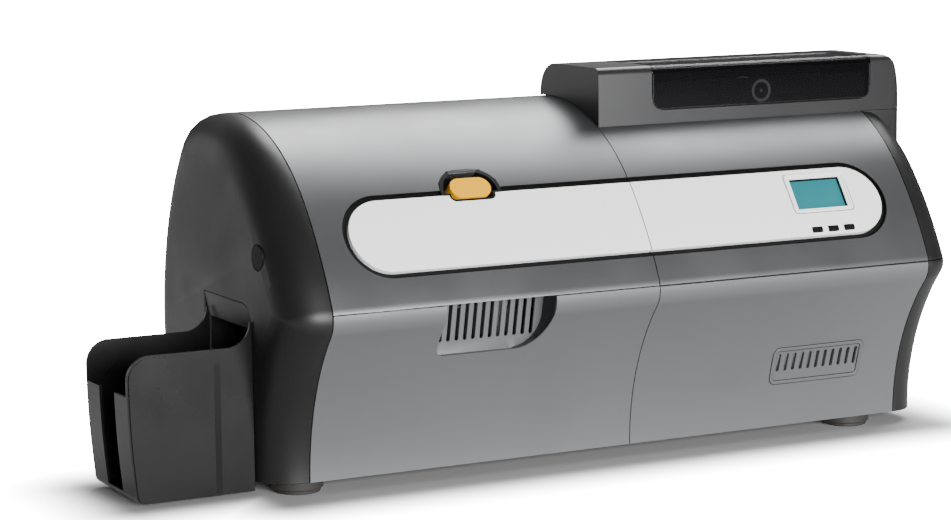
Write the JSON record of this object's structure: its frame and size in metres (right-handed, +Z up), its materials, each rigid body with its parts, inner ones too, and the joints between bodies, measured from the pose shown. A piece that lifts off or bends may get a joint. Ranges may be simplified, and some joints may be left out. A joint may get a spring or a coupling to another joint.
{
  "type": "card printer",
  "caption": "Desktop printer for plastic identity cards: curved shell with a hinged print cover, card feeder with a smoked lid, display, keys, and an output hopper at its end.",
  "frame": {"origin": "on the table plane under the middle of the whole machine with its output hopper", "axes": "+X along the machine from the output hopper to the card feeder, -Y towards the user at the front, +Z up"},
  "size_m": [0.7104, 0.277, 0.306],
  "materials": {
    "cover_shell": "satin",
    "panel_shell": "satin",
    "cap_shell": "satin",
    "white_plate": "semi-gloss",
    "yellow_button": "semi-gloss",
    "dark_trim": "satin",
    "gloss_trim": "gloss",
    "screen_glass": "gloss",
    "circuit_board": "semi-gloss",
    "key_caps": "satin",
    "feeder_shell": "satin",
    "smoked_window": "gloss",
    "steel_shaft": "brushed",
    "sheet_steel": "zinc",
    "tray_plastic": "satin",
    "foot_rubber": "matte",
    "roller_rubber": "matte",
    "wheel_rubber": "satin",
    "belt_rubber": "matte",
    "brass_pulley": "machined",
    "motor_metal": "satin",
    "ribbon_black": "gloss"
  },
  "bodies": {
    "housing": {"control_cover": "cover_shell", "control_plate": "white_plate", "latch_striker": "dark_trim", "display_bezel": "white_plate", "display_glass": "screen_glass", "keypad_board": "circuit_board", "feeder_housing": "feeder_shell", "lid_hinge_pin": "steel_shaft", "card_trough": "dark_trim", "pusher_rail": "steel_shaft", "left_end_cap": "cap_shell", "blanking_plug": "dark_trim", "card_exit_bezel": "cap_shell", "output_hopper": "gloss_trim", "lower_panel_left": "panel_shell", "lower_panel_right": "panel_shell", "right_cap_upper": "cap_shell", "right_cap_lower": "cap_shell", "rear_housing": "panel_shell", "cover_hinge_pins": "steel_shaft", "base_tray": "tray_plastic", "rubber_feet": "foot_rubber", "print_frame_front": "sheet_steel", "print_frame_rear": "sheet_steel", "feed_frame_front": "sheet_steel", "feed_frame_rear": "sheet_steel", "frame_spacers": "steel_shaft", "drive_belt": "belt_rubber", "drive_motor": "motor_metal", "ribbon_film": "ribbon_black", "card_chute": "sheet_steel", "main_board": "circuit_board", "power_supply": "motor_metal", "fan_frame": "dark_trim", "power_inlet": "dark_trim", "data_sockets": "sheet_steel"},
    "print_cover": {"print_cover": "cover_shell", "cover_plate": "white_plate", "latch_bezel": "dark_trim"},
    "latch_button": {"latch_button": "yellow_button"},
    "latch_hook": {"latch_hook": "dark_trim"},
    "key_left": {"key_left": "key_caps"},
    "key_middle": {"key_middle": "key_caps"},
    "key_right": {"key_right": "key_caps"},
    "feeder_lid": {"feeder_lid": "smoked_window"},
    "card_pusher": {"card_pusher": "dark_trim"},
    "pusher_wheel": {"pusher_wheel": "wheel_rubber"},
    "entry_roller": {"entry_roller": "roller_rubber"},
    "platen_roller": {"platen_roller": "roller_rubber"},
    "middle_roller": {"middle_roller": "roller_rubber"},
    "exit_roller": {"exit_roller": "roller_rubber"},
    "motor_pulley": {"motor_pulley": "brass_pulley"},
    "head": {"printhead_carriage": "tray_plastic", "printhead": "motor_metal"},
    "supply_spool": {"supply_spool": "ribbon_black"},
    "takeup_spool": {"takeup_spool": "ribbon_black"},
    "flipper": {"flipper": "tray_plastic"},
    "feed_roller": {"feed_roller": "roller_rubber"},
    "fan_rotor": {"fan_rotor": "dark_trim"},
    "power_rocker": {"power_rocker": "key_caps"}
  },
  "joints": [
    {"name": "cover_hinge", "type": "hinge", "parent": "housing", "child": "print_cover", "pos_m": [-0.0812, 0.12033, 0.205], "axis": [-1, 0, 0], "range_deg": [0, 95]},
    {"name": "latch_press", "type": "slide", "parent": "print_cover", "child": "latch_button", "axis": [0, 0.826, -0.5636], "range_m": [0, 0.003], "stiffness_N_per_m": 1200},
    {"name": "latch_hook_turn", "type": "hinge", "parent": "print_cover", "child": "latch_hook", "pos_m": [-0.0813, -0.091, 0.168], "axis": [1, 0, 0], "range_deg": [-12.5, 0]},
    {"name": "key_left_press", "type": "slide", "parent": "housing", "child": "key_left", "axis": [0, 0.826, -0.5636], "range_m": [0, 0.001], "stiffness_N_per_m": 900},
    {"name": "key_middle_press", "type": "slide", "parent": "housing", "child": "key_middle", "axis": [0, 0.826, -0.5636], "range_m": [0, 0.001], "stiffness_N_per_m": 900},
    {"name": "key_right_press", "type": "slide", "parent": "housing", "child": "key_right", "axis": [0, 0.826, -0.5636], "range_m": [0, 0.001], "stiffness_N_per_m": 900},
    {"name": "feeder_lid_hinge", "type": "hinge", "parent": "housing", "child": "feeder_lid", "pos_m": [0.2157, 0.02, 0.303], "axis": [-1, 0, 0], "range_deg": [0, 105]},
    {"name": "pusher_slide", "type": "slide", "parent": "housing", "child": "card_pusher", "axis": [1, 0, 0], "range_m": [-0.088, 0.092]},
    {"name": "pusher_wheel_turn", "type": "hinge", "parent": "card_pusher", "child": "pusher_wheel", "pos_m": [0.2153, -0.015, 0.281], "axis": [0, 1, 0], "continuous": true},
    {"name": "motor_turn", "type": "hinge", "parent": "housing", "child": "motor_pulley", "pos_m": [-0.1567, 0.03, 0.10862], "axis": [0, 1, 0], "continuous": true},
    {"name": "entry_roller_turn", "type": "hinge", "parent": "housing", "child": "entry_roller", "pos_m": [0.0273, -0.012, 0.10862], "axis": [0, 1, 0], "continuous": true},
    {"name": "platen_roller_turn", "type": "hinge", "parent": "housing", "child": "platen_roller", "pos_m": [-0.0477, -0.012, 0.10862], "axis": [0, 1, 0], "continuous": true},
    {"name": "middle_roller_turn", "type": "hinge", "parent": "housing", "child": "middle_roller", "pos_m": [-0.1227, -0.012, 0.10862], "axis": [0, 1, 0], "continuous": true},
    {"name": "exit_roller_turn", "type": "hinge", "parent": "housing", "child": "exit_roller", "pos_m": [-0.1917, -0.012, 0.10862], "axis": [0, 1, 0], "continuous": true},
    {"name": "head_lift", "type": "hinge", "parent": "housing", "child": "head", "pos_m": [0.0143, -0.012, 0.158], "axis": [0, 1, 0], "range_deg": [0, 22]},
    {"name": "supply_spool_turn", "type": "hinge", "parent": "housing", "child": "supply_spool", "pos_m": [-0.0017, -0.012, 0.2], "axis": [0, 1, 0], "continuous": true},
    {"name": "takeup_spool_turn", "type": "hinge", "parent": "housing", "child": "takeup_spool", "pos_m": [-0.1017, -0.012, 0.2], "axis": [0, 1, 0], "continuous": true},
    {"name": "flipper_turn", "type": "hinge", "parent": "housing", "child": "flipper", "pos_m": [0.116, -0.012, 0.118], "axis": [0, 1, 0], "continuous": true},
    {"name": "feed_roller_turn", "type": "hinge", "parent": "housing", "child": "feed_roller", "pos_m": [0.1028, -0.012, 0.236], "axis": [0, 1, 0], "continuous": true},
    {"name": "fan_turn", "type": "hinge", "parent": "housing", "child": "fan_rotor", "pos_m": [-0.1504, 0.127, 0.078], "axis": [0, 1, 0], "continuous": true},
    {"name": "power_rocker_tilt", "type": "hinge", "parent": "housing", "child": "power_rocker", "pos_m": [0.2558, 0.1295, 0.046], "axis": [1, 0, 0], "range_deg": [-8, 8]}
  ],
  "couplings": [
    {"joint": "latch_hook_turn", "follows": "latch_press", "rad_per_m": -70},
    {"joint": "entry_roller_turn", "follows": "motor_turn", "ratio": 1},
    {"joint": "platen_roller_turn", "follows": "motor_turn", "ratio": 1},
    {"joint": "middle_roller_turn", "follows": "motor_turn", "ratio": 1},
    {"joint": "exit_roller_turn", "follows": "motor_turn", "ratio": 1}
  ]
}
